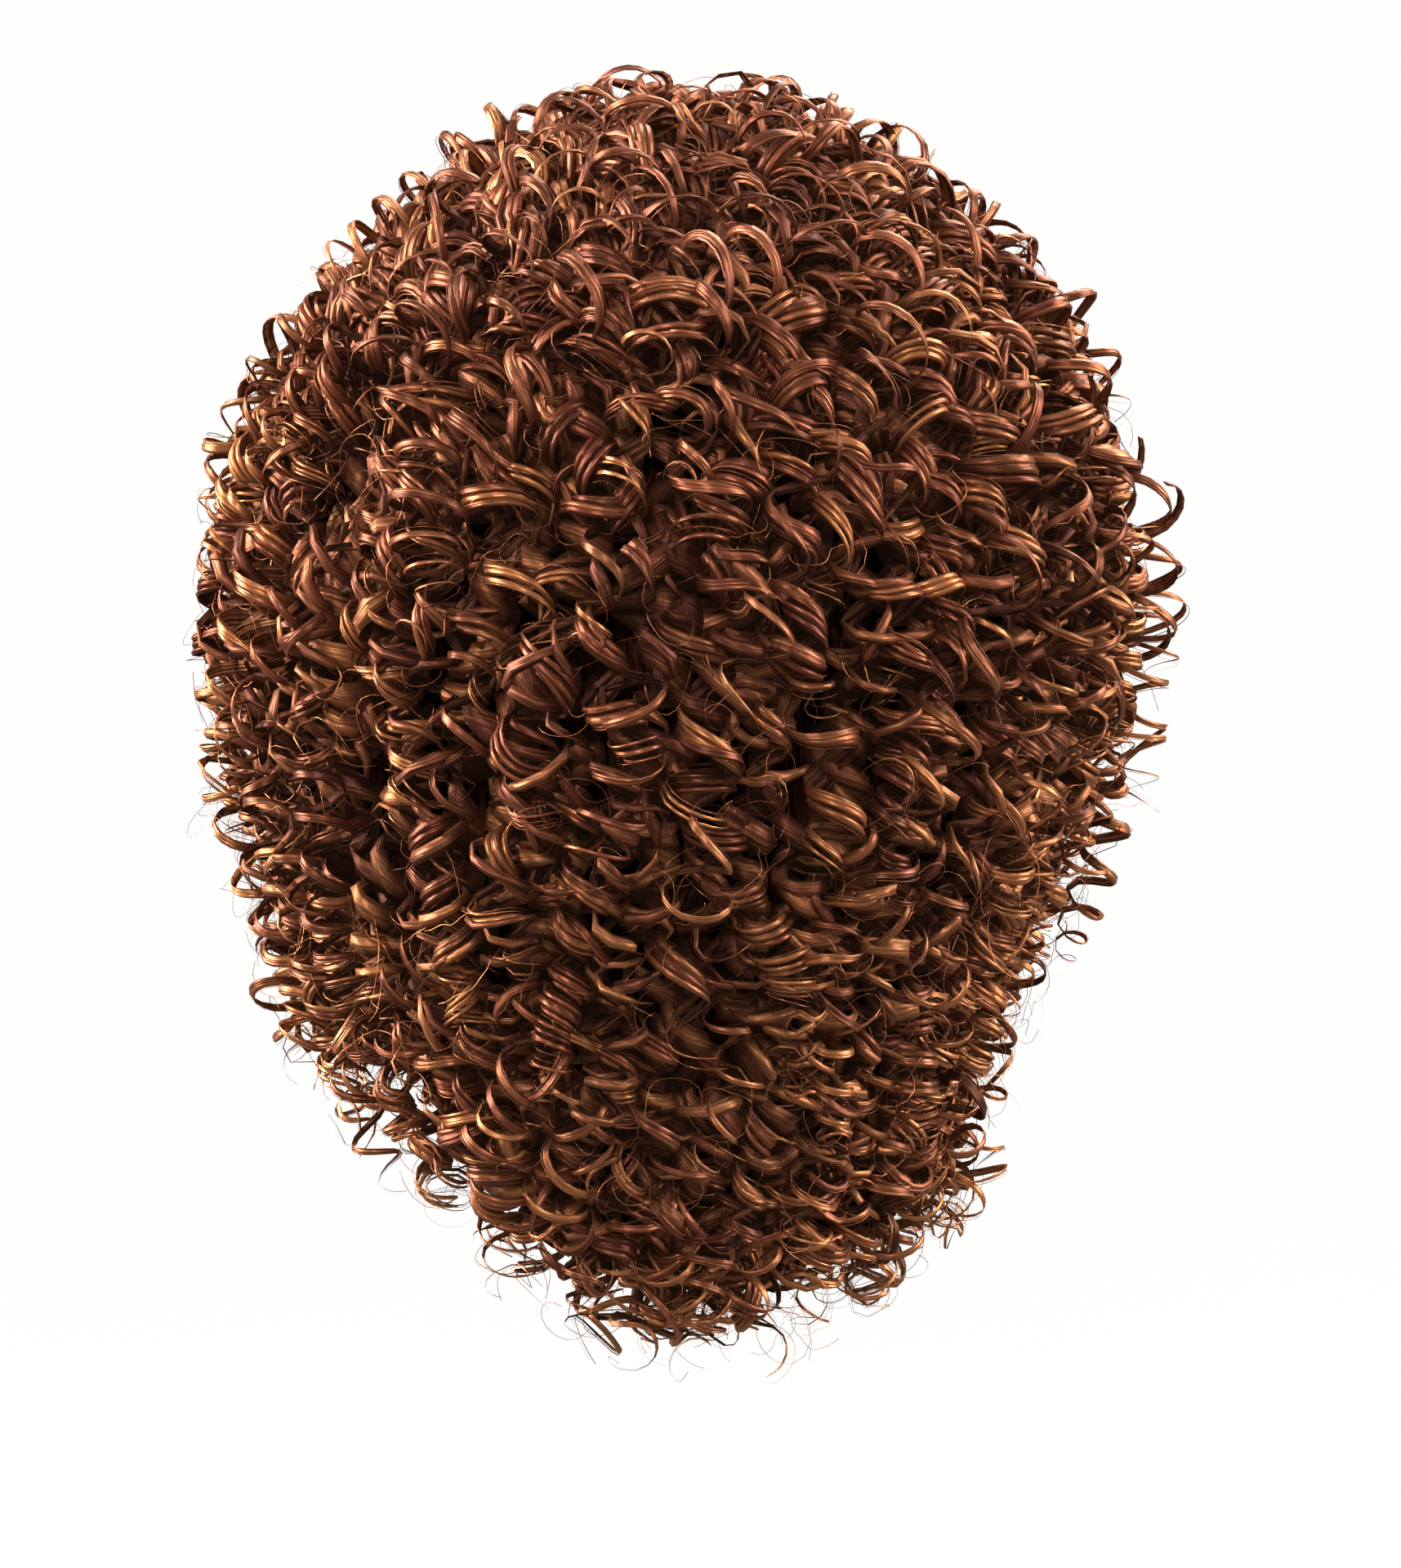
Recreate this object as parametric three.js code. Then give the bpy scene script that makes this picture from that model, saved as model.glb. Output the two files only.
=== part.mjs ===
// A wig of corkscrew curls on a thin stretch cap, held in the shape it has on a head.
// Millimetres, +Z up. The face looks along -Y and the wearer's left is +X.
// The origin is the point inside the crown of the cap that rests on the top of the head.
import * as THREE from 'three';
import { mergeVertices } from 'three/addons/utils/BufferGeometryUtils.js';

// Driving dimensions

const CAP_WALL = 1.6;
const SEAT_GAP = 0.8; // from the cap to the roots of the hair
const TIER_GAP = 0.022; // from one tier of curls to the next, as fall
const PARTING_GAP = 0.5; // from the fringe to the side hair, in degrees of turn
const WIDEST_LEVEL = -95; // height at which the head and the hair are widest
const FALL_UNIT = 100; // below that level, one unit of fall is this far down

// The head that the cap fits, and the outer form of the hair: the rise of each above the widest level,
// and its horizontal section at a few levels below. Each section is two half ellipses, back and front.
const HEAD = {
  rise: 95,
  levels: [
    { below: 0, halfWidth: 76, backReach: 96, frontReach: 96 },
    { below: 65, halfWidth: 66, backReach: 74, frontReach: 92 },
    { below: 140, halfWidth: 59, backReach: 63, frontReach: 86 },
    { below: 230, halfWidth: 59, backReach: 65, frontReach: 84 },
  ],
};
const HAIR = {
  rise: 145,
  levels: [
    { below: 0, halfWidth: 134, backReach: 144, frontReach: 128 },
    { below: 50, halfWidth: 131, backReach: 142, frontReach: 124 },
    { below: 100, halfWidth: 120, backReach: 132, frontReach: 116 },
    { below: 150, halfWidth: 102, backReach: 113, frontReach: 104 },
    { below: 190, halfWidth: 87, backReach: 98, frontReach: 94 },
    { below: 230, halfWidth: 78, backReach: 86, frontReach: 88 },
  ],
};

// Fall runs down the head: 0 at the crown, 1 at the widest level, then FALL_UNIT for each unit more.
// The cap's rim and the hair's hem hang lower at the back (sine of turn 1) than at the face (-1).
const RIM = { side: 1.17, slope: 0.44, curve: 0.04 };
const HEM = { side: 2.66, slope: 0.3, innerRise: 0.15 };
const FRINGE_HEM = 0.97;

// Where the forehead takes over from the sides, as the sine of turn.
const FOREHEAD = { begins: -0.55, ends: -0.95 };
const FACE_TURN = 270;
const FACE_HALF_TURN = 42; // degrees of turn that the face leaves open, each way from the front

// Each tier of curls is sewn to a strip of the cap and spreads to a strip of the outer form.
// rootEnd is where its strip ends, as a share of the way down to the cap's rim, and edgeEnd
// as a share of the way down to the hem. frontEdgeEnd is the same over the forehead, as fall,
// for the tiers that go right round. The bunches of one tier lie between those of the next.
const TIERS = [
  { name: 'crown_curls', rootEnd: 0.2, edgeEnd: 0.2, frontEdgeEnd: 0.42, bunchShift: 0 },
  { name: 'upper_curls', rootEnd: 0.4, edgeEnd: 0.36, frontEdgeEnd: 0.7, bunchShift: 0.5 },
  { name: 'middle_curls', rootEnd: 0.6, edgeEnd: 0.56, frontEdgeEnd: null, bunchShift: 0 },
  { name: 'lower_curls', rootEnd: 0.8, edgeEnd: 0.78, frontEdgeEnd: null, bunchShift: 0.5 },
  { name: 'nape_curls', rootEnd: null, edgeEnd: 1, frontEdgeEnd: null, bunchShift: 0 },
];
const BUNCHES = 30; // bunches of curls round a whole turn
const BUNCH_HEIGHT = 6;
const SPRING_ANGLE = 65; // degrees that the hair turns from its root to its tip

const STEPS_ROUND = 60;
const CAP_STEPS = 8;
const ROOT_STEPS = 5;
const HANG_STEPS = 3; // below the rim
const SPREAD_STEPS = 3;
const EDGE_STEPS = 4;

const CAP_COLOUR = 0x2a1811;
const HAIR_COLOUR = 0x6b3b27;

const radians = THREE.MathUtils.degToRad;
const lerp = THREE.MathUtils.lerp;
const shares = (steps) => [...Array(steps + 1).keys()].map((i) => i / steps);

// Form of the head and of the hair

// A smooth run through the rows of a form's table, upright where it leaves the dome above.
function sectionsOf(form) {
  const levels = form.levels.map((row) => row.below);
  const sizes = form.levels.flatMap((row) => [row.halfWidth, row.backReach, row.frontReach]);
  const run = new THREE.CubicInterpolant(levels, sizes, 3);
  run.settings = { endingStart: THREE.ZeroSlopeEnding, endingEnd: THREE.ZeroSlopeEnding };
  return run;
}

HEAD.sections = sectionsOf(HEAD);
HAIR.sections = sectionsOf(HAIR);

// The point of a form, grown outwards by an offset, at a turn in degrees and a fall.
// All the points of one turn lie in one upright plane through the axis of the head.
function pointOn(form, turn, fall, offset) {
  const tilt = Math.min(fall, 1) * Math.PI / 2;
  const below = Math.max(fall - 1, 0) * FALL_UNIT;
  const [halfWidth, backReach, frontReach] = form.sections.evaluate(below);
  const across = Math.cos(radians(turn));
  const along = Math.sin(radians(turn));
  const reach = along > 0 ? backReach : frontReach;
  const radius = 1 / Math.hypot(across / (halfWidth + offset), along / (reach + offset));
  return new THREE.Vector3(
    radius * Math.sin(tilt) * across,
    radius * Math.sin(tilt) * along,
    WIDEST_LEVEL + (form.rise + offset) * Math.cos(tilt) - below,
  );
}

// A point in the hair: spread 0 is at the cap, spread 1 on the outer form.
function pointInHair(turn, fall, spread, bulge = 0) {
  const root = pointOn(HEAD, turn, fall, CAP_WALL + SEAT_GAP);
  const edge = pointOn(HAIR, turn, fall, bulge);
  return root.lerp(edge, spread);
}

function rimFall(turn) {
  const back = Math.sin(radians(turn));
  return RIM.side + RIM.slope * back + RIM.curve * back * back;
}

function hemFall(turn) {
  return HEM.side + HEM.slope * Math.sin(radians(turn));
}

// 0 round the back and sides, 1 over the forehead.
function foreheadShare(turn) {
  return THREE.MathUtils.smoothstep(-Math.sin(radians(turn)), -FOREHEAD.begins, -FOREHEAD.ends);
}

// Where a tier ends on the cap and on the outer form. The lowest tier hangs free below the rim.
function tierEnd(tier, turn) {
  const hem = hemFall(turn);
  const side = tier.edgeEnd * hem;
  const front = tier.frontEdgeEnd ?? side;
  return {
    root: tier.rootEnd === null ? hem - HEM.innerRise : tier.rootEnd * rimFall(turn),
    edge: lerp(side, front, foreheadShare(turn)),
  };
}

function fringeEnd(turn) {
  return { root: rimFall(turn), edge: FRINGE_HEM };
}

// Solids

// A geometry with shared corners, less the triangles that shrink to a line at the crown.
function closedGeometry(points, triangles) {
  const loose = new THREE.BufferGeometry().setFromPoints(points);
  loose.setIndex(triangles.flat());
  const merged = mergeVertices(loose, 1e-3);
  const index = [...merged.index.array];
  const kept = [];
  for (let i = 0; i < index.length; i += 3) {
    const [a, b, c] = index.slice(i, i + 3);
    if (a !== b && b !== c && c !== a) kept.push(a, b, c);
  }
  merged.setIndex(kept);
  merged.computeVertexNormals();
  return merged;
}

// The wall that shuts a ring of points at one end of a solid.
function endWall(ring, start, isLast) {
  const outline = ring.map((p) => new THREE.Vector2(Math.hypot(p.x, p.y), p.z));
  const wall = THREE.ShapeUtils.triangulateShape(outline, []);
  return wall.map(([a, b, c]) => (isLast ? [a, c, b] : [a, b, c]).map((i) => i + start));
}

// A closed solid through rings of points, one ring for each turn. It joins up with itself
// when it goes right round, and is shut by an end wall at each side when it does not.
// Each patch folds along its shorter diagonal, so that neighbouring solids fold alike.
function loft(rings, goesRound) {
  const count = rings[0].length;
  const points = rings.flat();
  const triangles = [];
  const spans = goesRound ? rings.length : rings.length - 1;
  for (let j = 0; j < spans; j += 1) {
    const here = j * count;
    const next = ((j + 1) % rings.length) * count;
    for (let i = 0; i < count; i += 1) {
      const k = (i + 1) % count;
      const [a, b, c, d] = [here + i, here + k, next + k, next + i];
      const acrossAC = points[a].distanceTo(points[c]);
      const acrossBD = points[b].distanceTo(points[d]);
      triangles.push(...(acrossAC < acrossBD ? [[a, b, c], [a, c, d]] : [[a, b, d], [b, c, d]]));
    }
  }
  if (!goesRound) {
    triangles.push(...endWall(rings[0], 0, false));
    triangles.push(...endWall(rings[spans], spans * count, true));
  }
  return closedGeometry(points, triangles);
}

function named(name, geometry, colour) {
  const fibre = new THREE.MeshStandardMaterial({ color: colour, roughness: 0.4, metalness: 0 });
  const mesh = new THREE.Mesh(geometry, fibre);
  mesh.name = name;
  return mesh;
}

// Turns from one end of a piece to the other, about one step of the whole circle apart.
function turnsBetween(from, to) {
  const count = Math.round(((to - from) * STEPS_ROUND) / 360);
  return shares(count).map((share) => lerp(from, to, share));
}

// The cap: a thin dome that ends at the rim.
function wigCap() {
  const rings = turnsBetween(0, 360).slice(0, -1).map((turn) => {
    const falls = shares(CAP_STEPS).map((share) => share * rimFall(turn));
    const inside = falls.map((fall) => pointOn(HEAD, turn, fall, 0));
    const outside = falls.map((fall) => pointOn(HEAD, turn, fall, CAP_WALL));
    return [...outside, ...inside.reverse()];
  });
  return named('wig_cap', loft(rings, true), CAP_COLOUR);
}

// Points from the cap to the outer form: the hair springs straight out of the cap, then bends down.
function springing(turn, end) {
  const most = radians(SPRING_ANGLE);
  return shares(SPREAD_STEPS).slice(1, -1).map((share) => {
    const spread = Math.sin(most * share) / Math.sin(most);
    const bend = (1 - Math.cos(most * share)) / (1 - Math.cos(most));
    return pointInHair(turn, lerp(end.root, end.edge, bend), spread);
  });
}

// Falls up the inner side of a tier: first the part that hangs free below the rim, then the cap.
function rootFalls(turn, low, top) {
  const rim = Math.min(rimFall(turn), low);
  const hanging = low > rim ? shares(HANG_STEPS).slice(0, -1).map((t) => lerp(low, rim, t)) : [];
  return [...hanging, ...shares(ROOT_STEPS).map((t) => lerp(rim, top, t))];
}

// One tier's section at a turn: down its bunched edge, in over the tier below, up the cap, and back out.
function tierSection(turn, top, low, bunchShift) {
  const phase = (turn / 360) * BUNCHES + bunchShift;
  const bunch = BUNCH_HEIGHT * (0.5 + 0.5 * Math.cos(2 * Math.PI * phase));
  const edges = shares(EDGE_STEPS).map((t) => {
    const fall = lerp(top.edge, low.edge, t);
    const awayFromCrown = Math.min(fall, 1);
    return pointInHair(turn, fall, 1, bunch * awayFromCrown * Math.sin(Math.PI * t));
  });
  const roots = rootFalls(turn, low.root, top.root).map((fall) => pointInHair(turn, fall, 0));
  const over = top.root > 0 ? springing(turn, top) : [];
  return [...edges, ...springing(turn, low).reverse(), ...roots, ...over];
}

// Where a tier begins: just under the tier above, or at the crown.
function tierTop(above, turn) {
  if (!above) return { root: 0, edge: 0 };
  const end = tierEnd(above, turn);
  return { root: end.root + TIER_GAP, edge: end.edge + TIER_GAP };
}

function curlTier(tier, above) {
  const goesRound = tier.frontEdgeEnd !== null;
  const open = [FACE_TURN - 360 + FACE_HALF_TURN, FACE_TURN - FACE_HALF_TURN];
  const turns = goesRound ? turnsBetween(0, 360).slice(0, -1) : turnsBetween(...open);
  const rings = turns.map((turn) => {
    return tierSection(turn, tierTop(above, turn), tierEnd(tier, turn), tier.bunchShift);
  });
  return named(tier.name, loft(rings, goesRound), HAIR_COLOUR);
}

// The fringe fills the forehead from the last full ring down to the cap's rim.
function fringeCurls(above) {
  const half = FACE_HALF_TURN - PARTING_GAP;
  const rings = turnsBetween(FACE_TURN - half, FACE_TURN + half).map((turn) => {
    return tierSection(turn, tierTop(above, turn), fringeEnd(turn), 0);
  });
  return named('fringe_curls', loft(rings, false), HAIR_COLOUR);
}

// The wig

const fullRings = TIERS.filter((tier) => tier.frontEdgeEnd !== null);
const wig = new THREE.Group();
wig.add(wigCap());
TIERS.forEach((tier, i) => wig.add(curlTier(tier, TIERS[i - 1])));
wig.add(fringeCurls(fullRings[fullRings.length - 1]));

export default wig;
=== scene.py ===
# %% [markdown]
# A wig of corkscrew curls. The imported model gives the cap and six tiers of hair as plain solids.
# This file grows the real surface on them: a net cap, a body of matted hair that is painted dark
# as shade, some hundreds of ringlets, and the fine loose strands that make hair look like hair.
# Everything rides on one body, because hair and cloth have no joints. Lengths are in metres, with
# MM for the small ones.

# %% The frame
import math

import bpy
import numpy as np
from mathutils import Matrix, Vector


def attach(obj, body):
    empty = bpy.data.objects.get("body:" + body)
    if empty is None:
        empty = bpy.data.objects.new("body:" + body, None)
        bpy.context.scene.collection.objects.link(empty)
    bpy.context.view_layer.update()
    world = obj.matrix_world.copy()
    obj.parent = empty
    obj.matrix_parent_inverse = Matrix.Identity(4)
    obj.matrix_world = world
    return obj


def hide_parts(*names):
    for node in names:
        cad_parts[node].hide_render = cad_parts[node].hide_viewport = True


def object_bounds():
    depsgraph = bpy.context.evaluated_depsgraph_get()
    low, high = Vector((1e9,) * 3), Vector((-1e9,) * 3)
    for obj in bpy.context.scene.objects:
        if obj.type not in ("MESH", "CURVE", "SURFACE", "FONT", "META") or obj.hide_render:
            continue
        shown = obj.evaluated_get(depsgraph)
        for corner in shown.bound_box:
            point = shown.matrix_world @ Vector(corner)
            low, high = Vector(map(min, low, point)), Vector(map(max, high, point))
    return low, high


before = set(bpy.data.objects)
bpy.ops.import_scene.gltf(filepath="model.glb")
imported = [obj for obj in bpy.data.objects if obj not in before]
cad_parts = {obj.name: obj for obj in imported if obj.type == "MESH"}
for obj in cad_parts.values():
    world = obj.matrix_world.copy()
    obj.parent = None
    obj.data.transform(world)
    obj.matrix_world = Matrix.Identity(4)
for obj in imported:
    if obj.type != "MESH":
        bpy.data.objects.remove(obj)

MM = 0.001
RANDOM_SEED = 7
CAD_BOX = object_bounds()
random = np.random.default_rng(RANDOM_SEED)
print("nodes", sorted(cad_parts))

# %% [markdown]
# The camera stands behind the wig, a little to one side and a little above, as a shop photographer
# would. A long lens from far off keeps the curls at the rim as large as those in the middle. The
# lens follows from the distance and from the height of the picture at the wig.

# %% Camera
VIEW_TURN = math.radians(203)
VIEW_RISE = math.radians(14)
VIEW_DISTANCE = 1.7
AIM = Vector((-0.007, 0.0, -0.146))
FRAME_HEIGHT = 0.4525
SENSOR_HEIGHT = 36  # in millimetres, as the lens is


def direction(turn, rise):
    """The way to a turn and a rise in radians. A turn of 0 is at the front."""
    return Vector((math.sin(turn) * math.cos(rise), -math.cos(turn) * math.cos(rise), math.sin(rise)))


bpy.ops.object.select_all(action="DESELECT")
away = direction(VIEW_TURN, VIEW_RISE)
bpy.ops.object.camera_add(location=AIM + away * VIEW_DISTANCE)
camera = bpy.context.object
camera.rotation_euler = away.to_track_quat("Z", "Y").to_euler()
camera.data.sensor_fit = "VERTICAL"
camera.data.sensor_height = SENSOR_HEIGHT
camera.data.lens = SENSOR_HEIGHT * VIEW_DISTANCE / FRAME_HEIGHT
bpy.context.scene.camera = camera
print("lens", round(camera.data.lens, 1), "mm")

# %% [markdown]
# The wig stands in a white tent with soft lamps. Each softbox is an area lamp that faces the wig,
# and a large lamp makes the long soft glints that run across every turn of a curl. The strong ones
# stand at the sides, so the edges of the hair are lighter than its middle. A weak sun with a very
# wide disc serves as the panel overhead, because it lights the whole crown alike.

# %% Lights
WIG_MIDDLE = Vector((0, 0, -0.13))
SOFTBOX_SPREAD = math.radians(70)  # a honeycomb grid on each softbox keeps its light on the wig
SOFTBOXES = [  # name, turn and rise in degrees, distance and size in metres, power in watts
    ("key_softbox", 194, 33, 1.5, 0.4, 1.9),
    ("left_softbox", 104, 20, 1.6, 1.1, 24),
    ("right_softbox", 297, 20, 1.6, 1.1, 10),
    ("face_softbox", 0, 35, 1.8, 0.9, 6),
]
OVERHEAD_STRENGTH = 0.5
OVERHEAD_DISC = math.radians(70)
TENT_WHITE = (1.0, 1.0, 0.99, 1)
TENT_STRENGTH = 0.42

for name, turn, rise, distance, size, power in SOFTBOXES:
    away = direction(math.radians(turn), math.radians(rise))
    bpy.ops.object.light_add(type="AREA", location=WIG_MIDDLE + away * distance)
    lamp = bpy.context.object
    lamp.name = name
    lamp.rotation_euler = away.to_track_quat("Z", "Y").to_euler()
    lamp.data.shape = "SQUARE"
    lamp.data.size = size
    lamp.data.energy = power
    lamp.data.spread = SOFTBOX_SPREAD

bpy.ops.object.light_add(type="SUN", location=(0, 0, 2))
overhead = bpy.context.object
overhead.name = "overhead_panel"
overhead.data.energy = OVERHEAD_STRENGTH
overhead.data.angle = OVERHEAD_DISC

world = bpy.data.worlds.new("studio")
world.use_nodes = True
world.node_tree.nodes["Background"].inputs["Color"].default_value = TENT_WHITE
world.node_tree.nodes["Background"].inputs["Strength"].default_value = TENT_STRENGTH
bpy.context.scene.world = world
bpy.context.scene.view_settings.view_transform = "Standard"

# %% [markdown]
# The floor is a plain white sheet well below the wig, and a round backdrop of the same white rises
# from it, so no horizon shows from any side. Both glow evenly by themselves. They cast no shadow and
# are hidden from light that bounces and from reflections, so only the lamps and the tent light the wig.

# %% Floor and backdrop
FLOOR_LEVEL = -0.75
FLOOR_SIZE = 60
BACKDROP_RADIUS = 12
BACKDROP_HEIGHT = 8
BACKDROP_SIDES = 128

bpy.ops.mesh.primitive_plane_add(size=FLOOR_SIZE, location=(0, 0, FLOOR_LEVEL))
floor = bpy.context.object
floor.name = "floor"
bpy.ops.mesh.primitive_cylinder_add(
    vertices=BACKDROP_SIDES, radius=BACKDROP_RADIUS, depth=BACKDROP_HEIGHT, end_fill_type="NOTHING",
    location=(0, 0, FLOOR_LEVEL + BACKDROP_HEIGHT / 2))
backdrop = bpy.context.object
backdrop.name = "backdrop"
for screen in (floor, backdrop):
    screen.visible_diffuse = False
    screen.visible_glossy = False
    screen.visible_shadow = False
print("floor", FLOOR_SIZE, "m wide, backdrop", 2 * BACKDROP_RADIUS, "m")

# %% [markdown]
# The hair grows between two forms: the one that the cap has, and the outer form of the hair. Both
# are a dome down to the widest level and a set of sections below it, so a few rows describe them. A
# point is given by its turn round the wig and its drop, the distance down from the crown.

# %% Form of the cap and of the hair
WIDEST_LEVEL = -95 * MM
DOME_DROP = 226 * MM  # along the outer form from the crown to the widest level
TINY = 1e-9
CAP_FORM = {
    "rise": 95 * MM,
    "crown_shift": 0.0,  # sideways
    "fullness": 1.0,  # of the dome: 1 is a plain ellipsoid, more is narrower near the top
    "below": np.array([0, 65, 140, 230]) * MM,
    "half_width": np.array([76, 66, 59, 59]) * MM,
    "back": np.array([96, 74, 63, 65]) * MM,
    "front": np.array([96, 92, 86, 84]) * MM,
}
HAIR_FORM = {
    "rise": CAD_BOX[1][2] - WIDEST_LEVEL,
    "crown_shift": -3 * MM,
    "fullness": 1.17,
    "below": np.array([0, 50, 100, 150, 190, 230]) * MM,
    "half_width": np.array([134, 131, 110, 88, 78, 73]) * MM,
    "back": np.array([143.5, 143, 135, 120, 110, 102]) * MM,
    "front": np.array([129, 125, 117, 106, 96, 90]) * MM,
}
HEM = {  # how far the hair hangs below the widest level, by the turn in degrees
    "turn": np.array([0, 20, 60, 70, 80, 90, 105, 130, 190, 210, 225, 250, 270, 310, 360]),
    "below": np.array([140, 144, 140, 147, 168, 187, 198, 202, 195, 186, 172, 155, 145, 134, 140]) * MM,
}


def at_section(form, key, below):
    """One measure of a form at a distance below its widest level."""
    return np.interp(below, form["below"], form[key])


def on_form(form, turn, drop):
    """Points of a form at turns in radians and drops in metres, as an array with x, y, z last."""
    tilt = np.clip(drop / DOME_DROP, 0, 1) * math.pi / 2
    below = np.maximum(drop - DOME_DROP, 0)
    across, along = np.cos(turn), np.sin(turn)
    half_width = at_section(form, "half_width", below)
    reach = np.where(along > 0, at_section(form, "back", below), at_section(form, "front", below))
    radius = np.sin(tilt) ** form["fullness"] / np.hypot(across / half_width, along / reach)
    shift = form["crown_shift"] * np.cos(tilt)
    height = WIDEST_LEVEL + form["rise"] * np.cos(tilt) - below
    return np.stack([radius * across + shift, radius * along, height], axis=-1)


def in_hair(turn, drop, depth):
    """Points below the outer form by a depth, measured towards the cap."""
    outer = on_form(HAIR_FORM, turn, drop)
    inward = on_form(CAP_FORM, turn, drop) - outer
    thickness = np.linalg.norm(inward, axis=-1, keepdims=True)
    return outer + inward / np.maximum(thickness, TINY) * depth[..., None]


def outer_radius(turn, drop):
    """How far the outer form is from the wig's upright axis."""
    return np.linalg.norm(on_form(HAIR_FORM, turn, drop)[..., :2], axis=-1)


def hem_drop(turn):
    """How far down the hair hangs: longest at the back, shorter beside the face."""
    return DOME_DROP + np.interp(np.degrees(turn) % 360, HEM["turn"], HEM["below"])


print("hair thickness at the crown", round((HAIR_FORM["rise"] - CAP_FORM["rise"]) / MM), "mm")

# %% [markdown]
# The cap is the one piece that is sewn. It starts as a sphere that is stretched to the cap's form,
# loses its lower half, is drawn in towards the nape ring by ring, and is cut off along the rim by a
# slanted plane. Solidify then gives the net its wall. The net itself is too fine to model, so the
# material draws it.

# %% Cap
CAP_SEGMENTS = 72
CAP_RINGS = 36
CAP_WALL = 1.6 * MM
NAPE_RINGS = 6
NAPE_STEP = 16.25 * MM
RIM_FRONT = Vector((0, -93 * MM, -62 * MM))
RIM_BACK = Vector((0, 76 * MM, -160 * MM))
MERGE_DISTANCE = 0.05 * MM

bpy.ops.object.select_all(action="DESELECT")
bpy.ops.mesh.primitive_uv_sphere_add(
    segments=CAP_SEGMENTS, ring_count=CAP_RINGS, radius=1, location=(0, 0, 0))
cap = bpy.context.object
cap.name = "cap_net"
bpy.ops.object.mode_set(mode="EDIT")
bpy.ops.transform.resize(value=(CAP_FORM["half_width"][0], CAP_FORM["back"][0], CAP_FORM["rise"]))
bpy.ops.transform.translate(value=(0, 0, WIDEST_LEVEL))
bpy.ops.mesh.bisect(plane_co=(0, 0, WIDEST_LEVEL), plane_no=(0, 0, -1), clear_outer=True)
for step in range(1, NAPE_RINGS + 1):
    below = step * NAPE_STEP
    above = below - NAPE_STEP
    narrower = at_section(CAP_FORM, "half_width", below) / at_section(CAP_FORM, "half_width", above)
    shallower = at_section(CAP_FORM, "back", below) / at_section(CAP_FORM, "back", above)
    bpy.ops.mesh.extrude_region_move(TRANSFORM_OT_translate={"value": (0, 0, -NAPE_STEP)})
    bpy.ops.transform.resize(
        value=(narrower, shallower, 1), center_override=(0, 0, WIDEST_LEVEL - below))
bpy.ops.mesh.select_all(action="SELECT")
slope = RIM_BACK - RIM_FRONT
bpy.ops.mesh.bisect(plane_co=RIM_FRONT, plane_no=(0, slope.z, -slope.y), clear_outer=True)
bpy.ops.mesh.select_all(action="SELECT")
bpy.ops.mesh.remove_doubles(threshold=MERGE_DISTANCE)
bpy.ops.mesh.normals_make_consistent(inside=False)
bpy.ops.object.mode_set(mode="OBJECT")
wall = cap.modifiers.new("wall", "SOLIDIFY")
wall.thickness = CAP_WALL
wall.offset = 1
bpy.ops.object.modifier_apply(modifier="wall")
bpy.ops.object.shade_smooth()
print("cap", len(cap.data.polygons), "faces")

# %% [markdown]
# Hair is many small things of one kind, so it is made from arrays: every strand is a closed ribbon
# swept along a path, and all the strands of a tier are joined in one mesh. A few sides are enough
# for something so thin, because its shading is smooth. Each corner carries two marks for the
# material: where it lies in its lock, and how golden and light it is, with how much painted shade
# it has.

# %% Ribbons
SECTION = np.array([(-1, -0.5), (1, -0.5), (0, 1)])  # across a strand, and off its flat side


def unit(vectors):
    """Vectors of length 1 with the same directions."""
    return vectors / np.maximum(np.linalg.norm(vectors, axis=-1, keepdims=True), TINY)


def ramp(low, high, value):
    """0 before low, 1 after high, smooth between."""
    share = np.clip((value - low) / (high - low), 0, 1)
    return share * share * (3 - 2 * share)


def axes_along(path, outward):
    """The directions along, across and off a ribbon whose flat side faces outward."""
    tangent = unit(np.gradient(path, axis=0))
    sideways = unit(np.cross(outward, tangent))
    return tangent, sideways, np.cross(tangent, sideways)


def strand_section(width, thickness):
    """The corners of a thin strand at each step: how far across it and off its flat side they are."""
    return SECTION[None, :, 0] * width[:, None] / 2, SECTION[None, :, 1] * thickness[:, None] / 2


def ribbon(path, outward, section, aside, seed, shade):
    """A closed ribbon along a path, its flat side facing outward, as arrays for joined_mesh."""
    across, lift = section
    steps, sides = across.shape
    _, sideways, outward = axes_along(path, outward)
    corners = path[:, None] + sideways[:, None] * across[..., None] + outward[:, None] * lift[..., None]
    along = np.concatenate([[0], np.cumsum(np.linalg.norm(np.diff(path, axis=0), axis=1))])
    strand = np.stack(np.broadcast_arrays((across + aside) / MM, along[:, None] / MM, seed), axis=-1)
    s, p = np.meshgrid(np.arange(steps - 1), np.arange(sides), indexing="ij")
    q = (p + 1) % sides
    quads = np.stack([s * sides + p, s * sides + q, (s + 1) * sides + q, (s + 1) * sides + p], axis=-1)
    strip = np.stack([
        np.stack([s, s, s + 1, s + 1], axis=-1) / (steps - 1),
        np.stack([p, p + 1, p + 1, p], axis=-1) / sides,
    ], axis=-1)
    ends = np.stack([np.arange(sides)[::-1], (steps - 1) * sides + np.arange(sides)])
    end_strip = np.stack([np.repeat([[0.0], [1.0]], sides, axis=1), ends % sides / sides], axis=-1)
    return {
        "corners": corners.reshape(-1, 3),
        "strand": strand.reshape(-1, 3),
        "shade": np.repeat(shade, sides, axis=0),
        "loops": np.concatenate([quads.ravel(), ends.ravel()]),
        "sizes": np.array([4] * (steps - 1) * sides + [sides] * 2),
        "strip": np.concatenate([strip.reshape(-1, 2), end_strip.reshape(-1, 2)]),
    }


print("a thin strand has", len(SECTION), "sides")

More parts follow.
